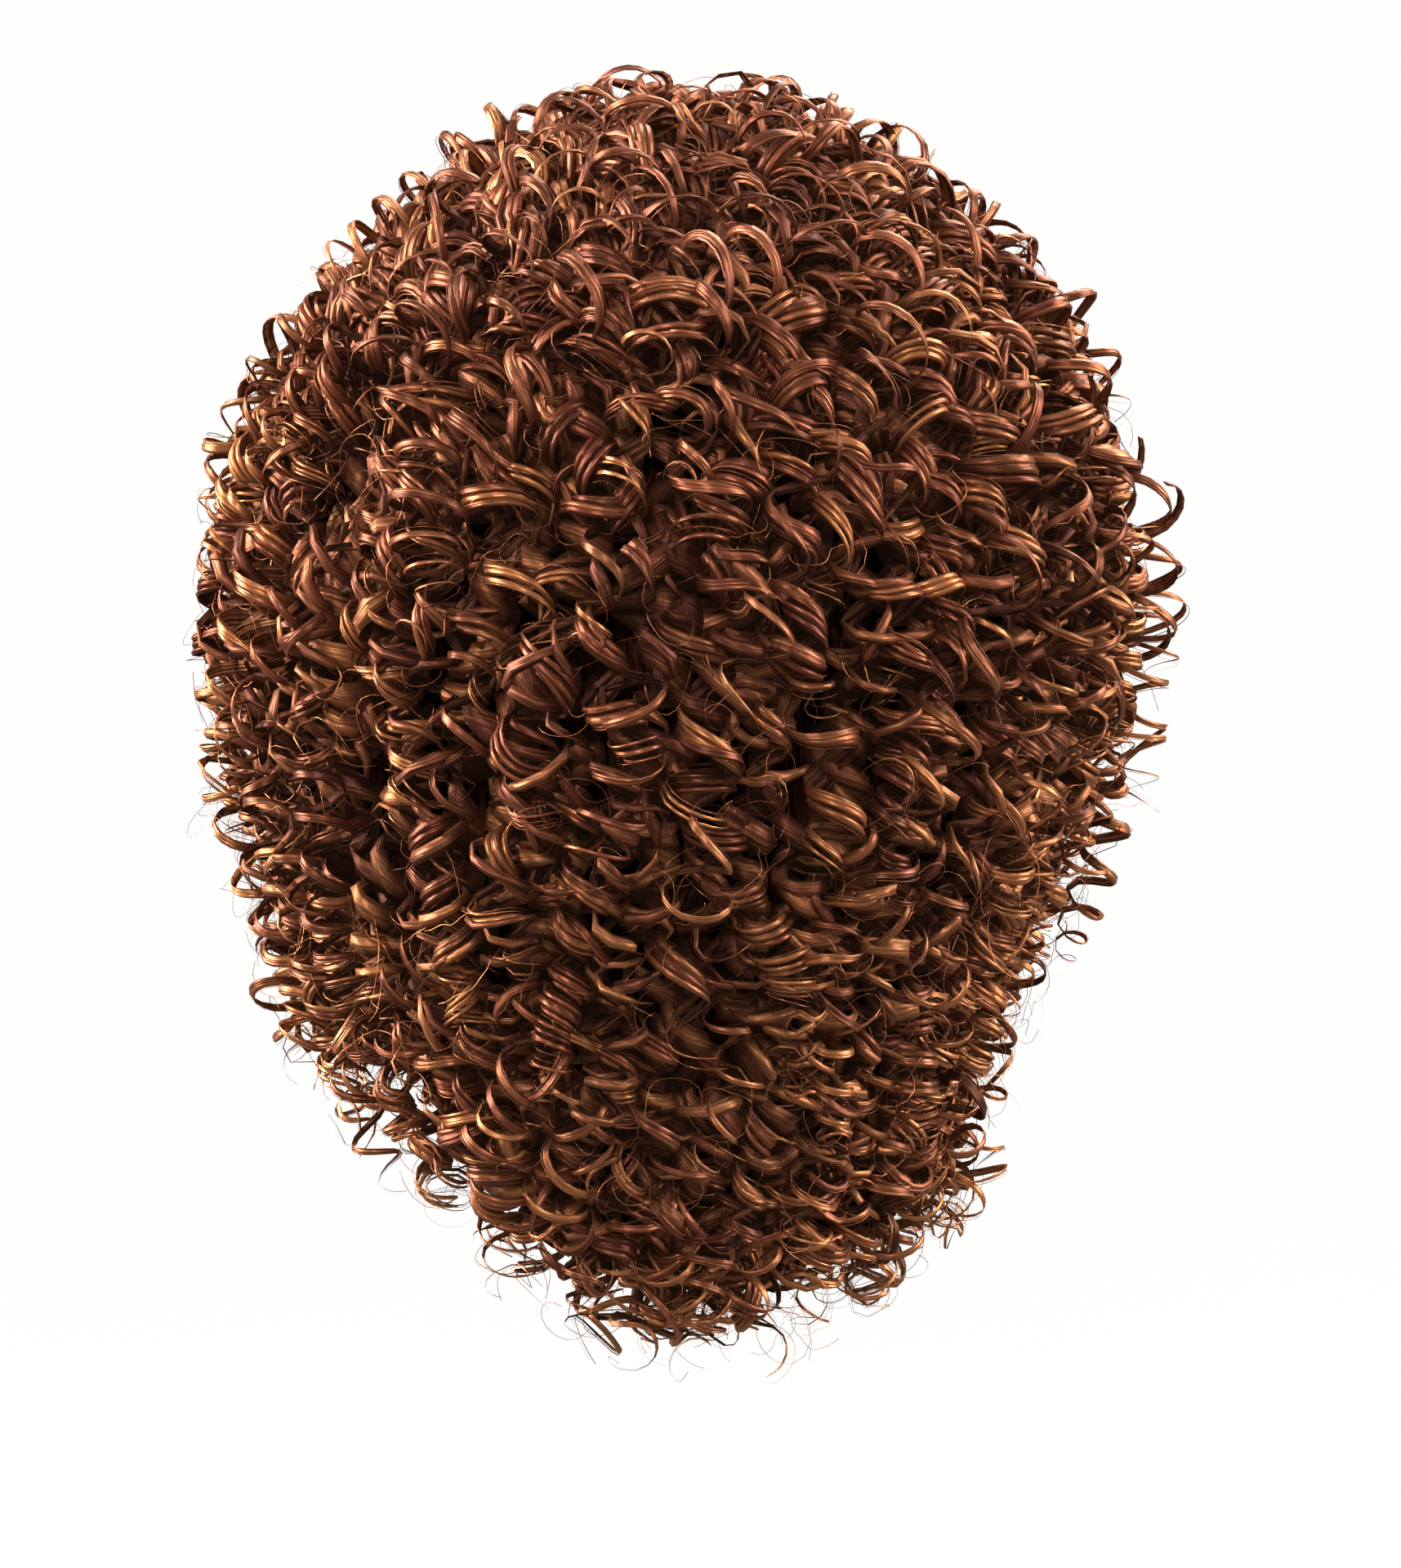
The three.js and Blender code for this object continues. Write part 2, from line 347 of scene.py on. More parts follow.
# %% [markdown]
# The arrays of many ribbons become one mesh with foreach_set, which is far quicker than adding faces
# one by one. Each ribbon also gets a strip of its own on a map, so that its colours can be baked.

# %% Joined meshes
STRIP_MARGIN = 0.06  # of the strip that a ribbon has on the map


def joined_mesh(name, strands):
    """One object from many ribbons, with a map on which each has a strip of its own."""
    gathered = {}
    for key in ("corners", "strand", "shade", "sizes"):
        gathered[key] = np.concatenate([strand[key] for strand in strands])
    starts = np.cumsum([0] + [len(strand["corners"]) for strand in strands[:-1]])
    loops = np.concatenate([strand["loops"] + first for strand, first in zip(strands, starts)])
    sizes = gathered["sizes"]
    mesh = bpy.data.meshes.new(name)
    mesh.vertices.add(len(gathered["corners"]))
    mesh.vertices.foreach_set("co", gathered["corners"].astype(np.float32).ravel())
    mesh.loops.add(len(loops))
    mesh.loops.foreach_set("vertex_index", loops.astype(np.int32))
    mesh.polygons.add(len(sizes))
    mesh.polygons.foreach_set("loop_start", (np.cumsum(sizes) - sizes).astype(np.int32))
    mesh.polygons.foreach_set("use_smooth", np.ones(len(sizes), dtype=bool))
    mesh.update(calc_edges=True)
    for key in ("strand", "shade"):
        mark = mesh.attributes.new(key, "FLOAT_VECTOR", "POINT")
        mark.data.foreach_set("vector", gathered[key].astype(np.float32).ravel())
    strips = []
    for row, strand in enumerate(strands):
        place = strand["strip"].copy()
        place[:, 1] = (row + STRIP_MARGIN + (1 - 2 * STRIP_MARGIN) * place[:, 1]) / len(strands)
        strips.append(place)
    layout = mesh.uv_layers.new(name="OFBake")
    layout.uv.foreach_set("vector", np.concatenate(strips).astype(np.float32).ravel())
    piece = bpy.data.objects.new(name, mesh)
    bpy.context.scene.collection.objects.link(piece)
    print(name, len(strands), "strands", int((sizes - 2).sum()), "triangles")
    return piece


# %% [markdown]
# A ringlet hangs from inside the hair out to its tip on the outer form. Its guide is the line down
# its middle. A guide leans and sways, starts deep in the hair, and hangs straight where the outer
# form draws in below it. Some end in a ring, where the tip turns outward and falls less.

# %% Guides
GUIDE_STEPS = 60
LEAST_REACH = 25 * MM  # from the wig's axis, so that curls near the crown don't whirl round it
SWAY_WAVES = 0.9  # along a curl
DIVE = 20 * MM  # how much deeper a curl starts than it ends
DIVE_UNTIL = 0.35  # of the way along a curl
WAVE = 2 * MM  # in and out along a curl
WAVES = 1.3
RING_FROM = 0.85  # of the way along a curl, where a tip starts to turn outward
RING_FLATNESS = 0.6  # how much less such a tip falls
HANG = 0.5  # how far a curl hangs straight where the outer form draws in
HANG_FROM = 0.8 * DOME_DROP


def drift(share, waves, size):
    """A slow random change along a curl, round 0."""
    return size * sum(np.sin(2 * math.pi * (waves * k * share + random.random())) / k for k in (1, 2))


def way_out(turn, drop):
    """The direction out of the hair, from the cap to the outer form."""
    return unit(on_form(HAIR_FORM, turn, drop) - on_form(CAP_FORM, turn, drop))


def guide_of(curl):
    """Points down the middle of a curl, from its start deep in the hair to its tip, and the way out there.
    """
    share = np.linspace(0, 1, GUIDE_STEPS)
    fall = share - RING_FLATNESS * np.maximum(share - RING_FROM, 0) if curl["ring"] else share
    drop = curl["tip"] - curl["length"] * (1 - fall)
    reach = np.maximum(outer_radius(np.full_like(drop, curl["turn"]), drop), LEAST_REACH)
    aside = drift(share, SWAY_WAVES, curl["sway"]) + (1 - share) * curl["length"] * curl["lean"]
    turn = curl["turn"] + aside / reach
    narrowing = np.where(drop > HANG_FROM, np.maximum(reach - reach[-1], 0), 0)
    depth = curl["depth"] + DIVE * (1 - ramp(0, DIVE_UNTIL, share)) + HANG * narrowing
    depth = depth - curl["flare"] * ramp(curl["flare_from"], 1, share)
    depth = depth + WAVE * (1 + np.sin(2 * math.pi * (WAVES * share + random.random())))
    return in_hair(turn, drop, depth), way_out(turn, drop)


print("curls hang straight from a drop of", round(HANG_FROM / MM), "mm")

# %% [markdown]
# The hair itself is wound round the guide, flat side out, as on a curling rod. No two turns are quite
# alike: the pitch, the radius and the tilt drift, and towards the tip the turns close up. Steps are
# crowded on the outer side of each turn, because that side is seen most.

# %% Winding
CROWDING = 0.45  # of the steps of a turn, towards its outer side
TRIAL_STEPS = 8  # for each step, to find where the crowded ones lie
LEAST_STEPS = 10
PITCH_DRIFT = (1.5, 0.2)  # waves along a curl, and their size
RADIUS_DRIFT = (2, 0.15)
TILT_DRIFT = (1.2, 0.4)
CLOSING_FROM = 0.6  # of the way along a curl
START_RADIUS = 0.4  # of the full one
FULL_RADIUS_FROM = 0.2
TIP_SHRINKING = 0.25
TIP_FROM = 0.8
SHOWN_FROM = 0.3  # of the way along a curl, where it comes into sight


def between(share, place, vectors):
    """Vectors that are known at places along a curl, at other places."""
    return np.stack([np.interp(share, place, vectors[:, k]) for k in range(3)], axis=-1)


def wraps_along(curl, run):
    """How many turns a curl has made, at lengths along its guide."""
    place = run / run[-1]
    pitch = curl["pitch"] * (1 + drift(place, *PITCH_DRIFT))
    pitch = pitch * (1 - curl["closing"] * ramp(CLOSING_FROM, 1, place))
    return np.concatenate([[0], np.cumsum(np.diff(run) / pitch[1:])])


def crowded_wraps(curl, last):
    """Turns at which a curl has its steps, up to the last."""
    steps_per_turn = math.pi / math.acos(1 - curl["facet"] / curl["radius"])
    steps = max(math.ceil(last * steps_per_turn), LEAST_STEPS)
    trial = np.linspace(0, last, TRIAL_STEPS * steps)
    crowd = np.cumsum(1 + CROWDING * np.cos(curl["phase"] + curl["hand"] * 2 * math.pi * trial))
    return np.interp(np.linspace(crowd[0], crowd[-1], steps + 1), crowd, trial)


def wound(curl):
    """The path of a curl's hair, the way its flat side faces, how far along it is and how deep inside."""
    guide, out = guide_of(curl)
    run = np.concatenate([[0], np.cumsum(np.linalg.norm(np.diff(guide, axis=0), axis=1))])
    place = run / run[-1]
    wraps = wraps_along(curl, run)
    wrap = crowded_wraps(curl, wraps[-1])
    share = np.interp(wrap, wraps, place)
    guide, out = between(share, place, guide), between(share, place, out)
    tangent = unit(np.gradient(guide, axis=0))
    aside = unit(np.cross(tangent, out))
    out = np.cross(aside, tangent)
    angle = curl["phase"] + curl["hand"] * 2 * math.pi * wrap
    swell = START_RADIUS + (1 - START_RADIUS) * ramp(0, FULL_RADIUS_FROM, share)
    swell = swell * (1 - TIP_SHRINKING * ramp(TIP_FROM, 1, share))
    radius = curl["radius"] * swell * (1 + drift(share, *RADIUS_DRIFT))
    radial = np.cos(angle)[:, None] * out + np.sin(angle)[:, None] * aside
    path = guide + radial * radius[:, None]
    _, sideways, facing = axes_along(path, radial)
    tilt = drift(share, *TILT_DRIFT)
    facing = facing * np.cos(tilt)[:, None] + sideways * np.sin(tilt)[:, None]
    inside = (1 - np.cos(angle)) / 2
    shown = share > SHOWN_FROM
    return path[shown], facing[shown], share[shown], inside[shown]


print("hidden start of a curl that is left out", SHOWN_FROM)

# %% [markdown]
# A lock is a few narrow strips that lie side by side, and one single hair that wanders beside them.
# They part, end at different places and leave the lock near its tip, which gives it the ragged edge
# of real hair. A slim lock is a ribbed band with one strip along its edge. Real locks have hundreds
# of hairs. Lines that fine are left to the material, because the mesh would grow too heavy.

# %% Shade and width along a lock
GOLD_AT_ROOT = 0.2  # share of a curl's gold at its root, and 1 is added towards its tip
GOLD_FROM = 0.35  # of the way along a curl
# painted shade: darker near a curl's root, deep in the hair, and on the side of each turn that faces in
ROOT_SHADE = (0.05, 0.38)  # where it starts to clear and where it has gone
INSIDE_SHADE = 0.85  # on the side of a turn that faces into the hair
INSIDE_SPAN = (0.18, 0.9)
ROOT_WIDTH = 0.6  # of the full one
FULL_WIDTH_FROM = 0.3
TAPER_SPAN = (0.4, 1.1)
POINT_FROM = 0.8  # of a strand's length
POINT_WIDTH = 0.04
POINT_CURVE = 0.7


def curl_shade(curl, share, inside):
    """How golden and how light the hair is along a curl, and how much painted shade it has."""
    gold = np.clip(curl["gold"] * (GOLD_AT_ROOT + ramp(GOLD_FROM, 1, share)), 0, 1)
    light = np.full_like(share, curl["light"])
    # painted shade near the root, on the inner side of each turn, and on the curls underneath
    painted_shade = 1 - ramp(*ROOT_SHADE, share) + INSIDE_SHADE * ramp(*INSIDE_SPAN, inside) + curl["shadow"]
    return np.stack([gold, light, np.clip(painted_shade, 0, 1)], axis=-1)


def lock_width(curl, share):
    """A lock is narrow at its root and thins towards its tip."""
    widening = ROOT_WIDTH + (1 - ROOT_WIDTH) * ramp(0, FULL_WIDTH_FROM, share)
    return curl["width"] * widening * (1 - curl["taper"] * ramp(*TAPER_SPAN, share))


def pointed(share, end):
    """1 along a strand, falling to a point at its end."""
    return np.clip(1 - ramp(POINT_FROM * end, end, share), POINT_WIDTH, 1) ** POINT_CURVE


print("width left at a strand's point", round(POINT_WIDTH ** POINT_CURVE, 2))

# %% Bands of slim locks and of the hair underneath
BAND_CORNERS = 5
BAND_ARCH = 0.17  # of the band's width
RIB_HEIGHT = 0.035
RIB_DRIFT = (2, 0.6)  # waves along a curl, and their size
RIB_WANDER = (2.5, 0.08)
STRIP_ROUNDNESS = 0.4
UNDER_WIDENING = 1.5


def band_section(share, width):
    """The corners of a band at each step: a flat underside and an arched top with ribs that wander."""
    places = np.concatenate([[-1], np.linspace(1, -1, BAND_CORNERS)[:-1]])
    across, lift = np.empty((len(share), BAND_CORNERS)), np.empty((len(share), BAND_CORNERS))
    for k, place in enumerate(places):
        inner = 1 - place * place
        rib = RIB_HEIGHT * (random.uniform(-1, 1) + drift(share, *RIB_DRIFT))
        across[:, k] = width / 2 * (place + drift(share, *RIB_WANDER))
        lift[:, k] = width * inner * (BAND_ARCH + rib)
    return across, lift


def band_of(curl):
    """The band of a slim lock."""
    path, facing, share, inside = curl["wound"]
    width = lock_width(curl, share) * pointed(share, 1)
    section = band_section(share, width)
    return ribbon(path, facing, section, 0, curl["seed"], curl_shade(curl, share, inside))


def under_band_of(curl):
    """A curl as one plain strip, for the hair in painted shade under the others."""
    path, facing, share, inside = curl["wound"]
    width = UNDER_WIDENING * lock_width(curl, share) * pointed(share, 1)
    section = strand_section(width, STRIP_ROUNDNESS * width)
    return ribbon(path, facing, section, 0, curl["seed"], curl_shade(curl, share, inside))


print("a band has", BAND_CORNERS, "sides")

# %% Strips of a lock
STRIP_PLACE = (0.45, 0.8)  # of half the lock's width, to either side
STRIP_SHORTENING = (0, 0.14)
STRIP_WIDTH = (0.35, 0.55)  # of the lock's width
STRIP_WANDER = (1.5, 0.15)
STRIP_LIFT = (1.5, 0.06)
STRIP_TONES = (0.12, 0.2)  # how much strips of one lock differ in gold and in light
STRIP_LEAVES_FROM = 0.5  # of the way along a curl
SEED_STEP = 7


def strips_of(curl):
    """Narrow strips side by side along a curl."""
    path, facing, share, inside = curl["wound"]
    _, sideways, facing = axes_along(path, facing)
    lock = lock_width(curl, share)
    strips = []
    for k in range(curl["strips"]):
        place = (k - 1) * random.uniform(*STRIP_PLACE)
        end = 1 - random.uniform(*STRIP_SHORTENING)
        kept = share <= end
        leaving = random.normal(0, curl["fray"]) * ramp(STRIP_LEAVES_FROM, 1, share)
        aside = lock / 2 * (place + drift(share, *STRIP_WANDER) + leaving)
        lift = lock * (BAND_ARCH * (1 - place * place) + drift(share, *STRIP_LIFT))
        line = path + sideways * aside[:, None] + facing * lift[:, None]
        width = (lock * random.uniform(*STRIP_WIDTH) * pointed(share, end))[kept]
        shade = curl_shade(curl, share, inside)
        shade[:, :2] = np.clip(shade[:, :2] + random.normal(0, STRIP_TONES), 0, 1)
        section = strand_section(width, STRIP_ROUNDNESS * width)
        seed = curl["seed"] + SEED_STEP * k
        strips.append(ribbon(line[kept], facing[kept], section, place * lock.max(), seed, shade[kept]))
    return strips


print("strips are", STRIP_WIDTH, "of a lock's width")

# %% The single hair of a lock
HAIR_FROM = 0.4  # of the way along a curl
HAIR_PLACE = (0.6, 1.2)  # of half the lock's width, to one side
HAIR_WANDER = (1.5, 0.4)
HAIR_LIFT = 0.1  # of the lock's width
HAIR_LIFT_DRIFT = (1.5, 0.2)
HAIR_WIDTH = (0.16, 0.3)  # in millimetres
# painted highlight: a single hair is drawn lighter than its lock, as a lone hair that catches the light
HAIR_PAINTED_HIGHLIGHT = (0.3, 1.5)  # more than the lock
HAIR_ROUNDNESS = 0.8
SEEDS = (0, 500)


def refined(line):
    """A line with a point added in the middle of each step, on a smooth curve through its points."""
    held = np.concatenate([line[:1], line, line[-1:]])
    middle = (9 * (held[1:-2] + held[2:-1]) - held[:-3] - held[3:]) / 16
    finer = np.empty((2 * len(line) - 1,) + line.shape[1:])
    finer[0::2], finer[1::2] = line, middle
    return finer


def hair_of(curl):
    """A single hair beside a lock."""
    kept = curl["wound"][2] > HAIR_FROM
    path, facing, share, inside = (refined(part[kept]) for part in curl["wound"])
    _, sideways, facing = axes_along(path, facing)
    lock = lock_width(curl, share)
    place = random.choice([-1, 1]) * random.uniform(*HAIR_PLACE)
    leaving = random.uniform(-1, 1) * ramp(HAIR_FROM, 1, share)
    aside = lock / 2 * (place + drift(share, *HAIR_WANDER) + leaving)
    lift = lock * (HAIR_LIFT + drift(share, *HAIR_LIFT_DRIFT))
    line = path + sideways * aside[:, None] + facing * lift[:, None]
    width = random.uniform(*HAIR_WIDTH) * MM * pointed(share, 1)
    shade = curl_shade(curl, share, inside)
    shade[:, 1] += random.uniform(*HAIR_PAINTED_HIGHLIGHT)
    section = strand_section(width, HAIR_ROUNDNESS * width)
    return ribbon(line, facing, section, 0, random.uniform(*SEEDS), shade)


def strands_of(curl):
    """All the strands of a curl's lock."""
    band = [band_of(curl)] if curl["slim"] else []
    return band + strips_of(curl) + [hair_of(curl)]


print("single hairs are", HAIR_WIDTH, "mm wide")

# %% [markdown]
# Curls at the crown are wide and loose. Further down they are tighter and finer and hang in straight
# columns, and more of them are golden. So are those at the sides, where the gold is partly painted
# light that shines through the edge of the hair. More than one curl in four has sprung free: it is
# thin and stands out from the others. A table gives the mean sizes at six levels, and each curl is
# drawn at random round them.

# %% Sizes of a curl
FREE_SHARE = 0.28
FREE_STAND_OFF = 1.5 * MM  # more than the other curls
FREE_LIFT = 10 * MM  # nearer to the outer form
FREE_WIDENING = 1.2
SLIM_SHARE = 0.15  # of the curls that aren't free
STRIPS = 3
RING_SHARE = 0.3
RING_FLARE = 8 * MM
FLARE = 5  # in millimetres
FLARE_FROM = 0.5  # of the way along a curl
GOLD_SPREAD = (-0.14, 0.3)  # mean and deviation
GOLD_BELOW = 0.78  # more at the hem
# partly the hair's own gold, partly painted light that shines through the thin hair at the sides
GOLD_AND_PAINTED_LIGHT_ASIDE = 0.38  # more at the sides
PITCH_SPREAD = (1, 0.16)
LEFT_HANDED_SHARE = 0.78  # of curls that wind as a left-handed screw does
SHORTEST = 30 * MM
CROWN_GAP = 8 * MM  # between the start of a curl and the crown
FACET = 0.25 * MM  # how far the middle of a step may lie inside the true curve
UNDER_FACET = 1.2 * MM
LEVELS = {  # mean sizes of a curl by the share of the way down to the hem
    "down": np.array([0.0, 0.3, 0.45, 0.6, 0.75, 1.0]),
    "pitch": np.array([28, 27, 25, 21, 18.5, 17]) * MM,
    "radius": np.array([8.2, 7.2, 6.4, 6.0, 6.0, 5.8]) * MM,
    "width": np.array([6.6, 7.2, 6.8, 6.0, 5.6, 5.2]) * MM,
    "length": np.array([75, 80, 88, 95, 95, 90]) * MM,
    "lean": np.array([0.35, 0.28, 0.24, 0.2, 0.18, 0.16]),
    "spacing": np.array([11, 11, 11.5, 12.2, 12.5, 12.5]) * MM,  # sideways, between tips
    "squash": np.array([0.9, 0.7, 0.5, 0.32, 0.28, 0.28]),  # how little a distance down counts
    "stand_off": np.array([12.5, 12, 12.5, 13, 13, 12]) * MM,  # the furthest that a curl leaves the form
}
RANGES = {  # shares of the mean sizes, and other values that are drawn evenly
    "length": (0.8, 1.2),
    "radius": (0.7, 1.3),
    "width": (0.8, 1.2),
    "slim_width": (0.35, 0.55),
    "sway": (2, 8),  # in millimetres
    "closing": (0.1, 0.65),
    "fray": (0.05, 0.5),
    "taper": (0.1, 0.5),
}


def at_level(key, down):
    """A mean size at a share of the way down to the hem."""
    return float(np.interp(down, LEVELS["down"], LEVELS[key]))


def drawn(key):
    """A value drawn evenly from its range."""
    return random.uniform(*RANGES[key])


def new_curl(turn, tip, depth, shadow=0.0, shortening=1.0):
    """A curl with its tip at a place, with sizes drawn at random round those of its level."""
    down = float(np.clip(tip / hem_drop(turn), 0, 1))
    free = random.random() < FREE_SHARE
    slim = free or random.random() < SLIM_SHARE
    gold = random.normal(*GOLD_SPREAD) + GOLD_BELOW * down + GOLD_AND_PAINTED_LIGHT_ASIDE * abs(math.cos(turn))
    length = at_level("length", down) * drawn("length") * shortening
    radius = at_level("radius", down) * drawn("radius") * (FREE_WIDENING if free else 1)
    ring = random.random() < RING_SHARE
    flare = RING_FLARE if ring else max(random.normal(0, FLARE), 0) * MM
    stand_off = at_level("stand_off", down) + (FREE_STAND_OFF if free else 0)
    curl = {
        "turn": turn,
        "tip": tip,
        "length": max(min(length, tip - CROWN_GAP), SHORTEST),
        "depth": max(depth - (FREE_LIFT if free else 0), radius + flare - stand_off),
        "sway": drawn("sway") * MM,
        "lean": random.normal(0, at_level("lean", down)),
        "ring": ring,
        "flare": flare,
        "flare_from": RING_FROM if ring else FLARE_FROM,
        "radius": radius,
        "pitch": at_level("pitch", down) * random.normal(*PITCH_SPREAD),
        "closing": drawn("closing"),
        "width": at_level("width", down) * drawn("slim_width" if slim else "width"),
        "slim": slim,
        "strips": 1 if slim else STRIPS,
        "fray": drawn("fray"),
        "taper": drawn("taper"),
        "hand": -1 if random.random() < LEFT_HANDED_SHARE else 1,
        "phase": random.uniform(0, 2 * math.pi),
        "gold": float(np.clip(gold, 0, 1)),
        "light": random.random(),
        "shadow": shadow,
        "facet": UNDER_FACET if shadow else FACET,
        "seed": random.uniform(*SEEDS),
    }
    curl["wound"] = wound(curl)
    return curl


print("mean pitch at the hem", round(at_level("pitch", 1) / MM), "mm")

# %% [markdown]
# Tips are scattered over the outer form, a little apart from each other, so that the hair is even.
# A place is kept only if it is far enough from those before it. Lower down, a distance up or down
# counts for less, so the tips come to stand in rows above each other and the curls in columns.

# %% Scattered curls
FACE_TURN = math.radians(270)
FACE_HALF_TURN = math.radians(42)
FRINGE_DROP = 219 * MM
SCATTER_TRIES = 24000
SCATTER_FROM = 18 * MM  # below the crown
SCATTER_REACH = 150 * MM  # nearer to the wig's axis a place is kept less often, as its ring is shorter
SCATTER_DEPTH = (2, 10)  # in millimetres


def from_face(turn):
    """How far a turn is from the front, either way."""
    return np.abs((turn - FACE_TURN + math.pi) % (2 * math.pi) - math.pi)


def scattered_tips():
    """Turns and drops of tips all over the outer form, none nearer to another than the spacing."""
    found, places = [], np.empty((0, 3))
    for _ in range(SCATTER_TRIES):
        turn = random.uniform(0, 2 * math.pi)
        drop = random.uniform(SCATTER_FROM, float(hem_drop(turn)))
        if random.random() > outer_radius(turn, drop) / SCATTER_REACH:
            continue
        if from_face(turn) < FACE_HALF_TURN and drop > FRINGE_DROP:
            continue
        down = drop / float(hem_drop(turn))
        place = on_form(HAIR_FORM, np.array(turn), np.array(drop))
        apart = (places - place) * (1, 1, at_level("squash", down))
        if len(places) and np.linalg.norm(apart, axis=1).min() < at_level("spacing", down):
            continue
        found.append((turn, drop))
        places = np.vstack([places, place])
    return found


curls = []
for turn, drop in scattered_tips():
    curls.append(new_curl(turn, drop, random.uniform(*SCATTER_DEPTH) * MM))
print("scattered curls", len(curls))

# %% [markdown]
# More tips are set in rows along the hem and the edge of the fringe, where every lock ends. Under all
# these hang curls darkened with painted shade, which close the gaps. They are seen only between the
# others, so they have one strip and fewer steps.

# %% Curls of the hem and the fringe, and those underneath
EDGE_JITTER = (0.2, 0.8)  # of the spacing in a row
HEM_ROWS = [(4, 11.5), (11, 11.5), (18, 11.5), (26, 12)]  # depth and spacing, in millimetres
HEM_REACH = 97  # from the wig's axis, in millimetres
HEM_TIPS = (-26, 0)  # down from the hem, in millimetres
HEM_SHORTENING = 0.6
CAP_GAP = 4 * MM
FRINGE_ROWS = [(4, 11), (16, 13)]
FRINGE_REACH = 120
FRINGE_TIPS = (-14, 4)
UNDER_CURLS = 850
UNDER_FROM = 30 * MM  # below the crown
UNDER_UNTIL = 6 * MM  # above the hem
UNDER_FRINGE = 20 * MM  # above the edge of the fringe
UNDER_CURL_DEPTH = (12, 22)  # in millimetres
# painted shade that darkens the curls underneath
UNDER_SHADOW = 0.28

hem_curls = []
hem_span = 2 * (math.pi - FACE_HALF_TURN)
for depth, spacing in HEM_ROWS:
    reach = (HEM_REACH - depth) * MM
    count = int(hem_span * reach / (spacing * MM))
    for k in range(count):
        turn = FACE_TURN + FACE_HALF_TURN + hem_span * (k + random.uniform(*EDGE_JITTER)) / count
        tip = float(hem_drop(turn)) + random.uniform(*HEM_TIPS) * MM
        thickness = outer_radius(turn, tip) - np.linalg.norm(on_form(CAP_FORM, turn, tip)[:2])
        if depth * MM > thickness - CAP_GAP:
            continue
        hem_curls.append(new_curl(turn, tip, depth * MM, shortening=HEM_SHORTENING))
for depth, spacing in FRINGE_ROWS:
    count = int(2 * FACE_HALF_TURN * FRINGE_REACH / spacing)
    for k in range(count):
        share = (k + random.uniform(*EDGE_JITTER)) / count
        turn = FACE_TURN - FACE_HALF_TURN + 2 * FACE_HALF_TURN * share
        curls.append(new_curl(turn, FRINGE_DROP + random.uniform(*FRINGE_TIPS) * MM, depth * MM))
under_curls = []
while len(under_curls) < UNDER_CURLS:
    turn = random.uniform(0, 2 * math.pi)
    drop = random.uniform(UNDER_FROM, float(hem_drop(turn)) - UNDER_UNTIL)
    if from_face(turn) > FACE_HALF_TURN or drop < FRINGE_DROP - UNDER_FRINGE:
        depth = random.uniform(*UNDER_CURL_DEPTH) * MM
        under_curls.append(new_curl(turn, drop, depth, shadow=UNDER_SHADOW))
print("curls", len(curls), "at the hem", len(hem_curls), "and under them", len(under_curls))

# %% [markdown]
# The curls are sorted into the tiers of the model by where their tips lie, so that each mesh stands
# for the solid of its own tier. The short ones along the hem belong to several tiers and are a mesh
# of their own.

# %% Curls of each tier
TIER_ENDS = [("crown", 0.2), ("upper", 0.36), ("middle", 0.56), ("lower", 0.78)]
HEM_FALL = 2.66  # at the sides of the model, where a fall of 1 is the widest level
HEM_FALL_BACK = 0.3  # more at the back
FALL_UNIT = 100 * MM
FRINGE_FROM = 0.7 * DOME_DROP


def tier_of(curl):
    """The tier whose strip of the outer form holds the curl's tip."""
    if from_face(curl["turn"]) < FACE_HALF_TURN and curl["tip"] > FRINGE_FROM:
        return "fringe"
    hem_fall = HEM_FALL + HEM_FALL_BACK * math.sin(curl["turn"])
    below = curl["tip"] - DOME_DROP
    fall = curl["tip"] / DOME_DROP if below < 0 else 1 + below / FALL_UNIT
    return next((name for name, end in TIER_ENDS if fall <= end * hem_fall), "nape")


tiers = {name: [] for name in ("crown", "upper", "middle", "lower", "nape", "fringe")}
for curl in curls:
    tiers[tier_of(curl)].append(curl)
ringlets = {}
for name, members in [*tiers.items(), ("hem", hem_curls)]:
    strands = [strand for curl in members for strand in strands_of(curl)]
    ringlets[name] = joined_mesh(name + "_ringlets", strands)
under = joined_mesh("under_ringlets", [under_band_of(curl) for curl in under_curls])

# %% [markdown]
# Under the curls the hair is matted, and it is painted dark as the shade that lies there. One closed
# body stands for it, between the cap and the curls, with lumps so that it never shows a plain edge.
# It ends above the hem, where only loose curls hang, and leaves the face open. Its rings follow the
# two forms, so it is made from arrays too.

# %% Matted hair under the curls
MATTED_DEPTH = 27 * MM
MATTED_TURNS = 96
MATTED_DROPS = 32
MATTED_LEAST = 4 * MM  # thickness
MATTED_CAP_GAP = 5 * MM
MATTED_HEM_GAP = 22 * MM
MATTED_FRINGE_DROP = 185 * MM
OPENING_EDGE = (FACE_HALF_TURN + 0.06, FACE_HALF_TURN + 0.3)  # turns between which it gets longer
LUMP = 3 * MM
LUMPS = [(23, 6 * MM), (31, -9 * MM)]  # how many round the wig, and the drop for each radian


